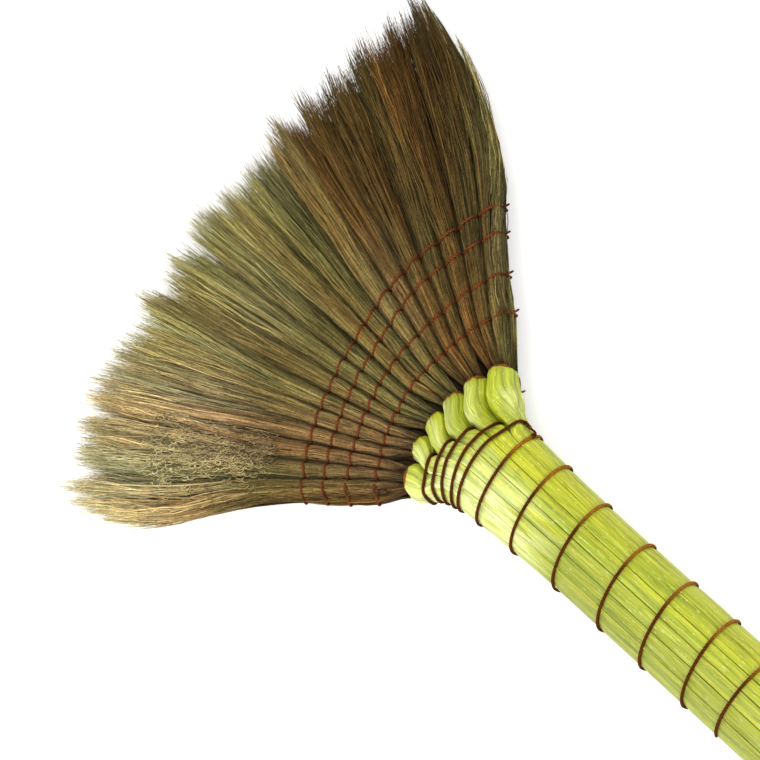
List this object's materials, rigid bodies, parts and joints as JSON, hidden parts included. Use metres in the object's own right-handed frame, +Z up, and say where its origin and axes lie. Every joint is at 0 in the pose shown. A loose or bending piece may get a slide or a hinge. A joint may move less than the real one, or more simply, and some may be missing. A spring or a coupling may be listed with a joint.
{
  "type": "hand broom",
  "caption": "Short fan-shaped hand broom: grass bundles in green sleeves, bound by a spiral cord into a round handle and sewn flat with rows of twine.",
  "frame": {"origin": "centre of the bounding box's bottom face, on the surface that the broom lies on", "axes": "+Y along the handle from the butt to the fan's tips, +X across the fan towards its longer edge, +Z up through the thickness"},
  "size_m": [0.2476, 0.3452, 0.039],
  "materials": {
    "sleeve_green": "glossy, fibrous",
    "stalk_straw": "dry, cut ends",
    "grass_olive": "dry, feathery",
    "cord_red_brown": "twisted, slightly shiny",
    "twine_terracotta": "twisted, matte"
  },
  "bodies": {
    "root": {"sleeve_1": "sleeve_green", "sleeve_2": "sleeve_green", "sleeve_3": "sleeve_green", "sleeve_4": "sleeve_green", "sleeve_5": "sleeve_green", "sleeve_6": "sleeve_green", "stalks_1": "stalk_straw", "stalks_2": "stalk_straw", "stalks_3": "stalk_straw", "stalks_4": "stalk_straw", "stalks_5": "stalk_straw", "stalks_6": "stalk_straw", "grass_1": "grass_olive", "grass_2": "grass_olive", "grass_3": "grass_olive", "grass_4": "grass_olive", "grass_5": "grass_olive", "grass_6": "grass_olive", "neck_tie_1": "cord_red_brown", "neck_tie_2": "cord_red_brown", "neck_tie_3": "cord_red_brown", "neck_tie_4": "cord_red_brown", "neck_tie_5": "cord_red_brown", "neck_tie_6": "cord_red_brown", "binding_cord": "cord_red_brown", "hitch_cord": "cord_red_brown", "stitch_row_1": "twine_terracotta", "stitch_row_2": "twine_terracotta", "stitch_row_3": "twine_terracotta", "stitch_row_4": "twine_terracotta"}
  },
  "joints": []
}
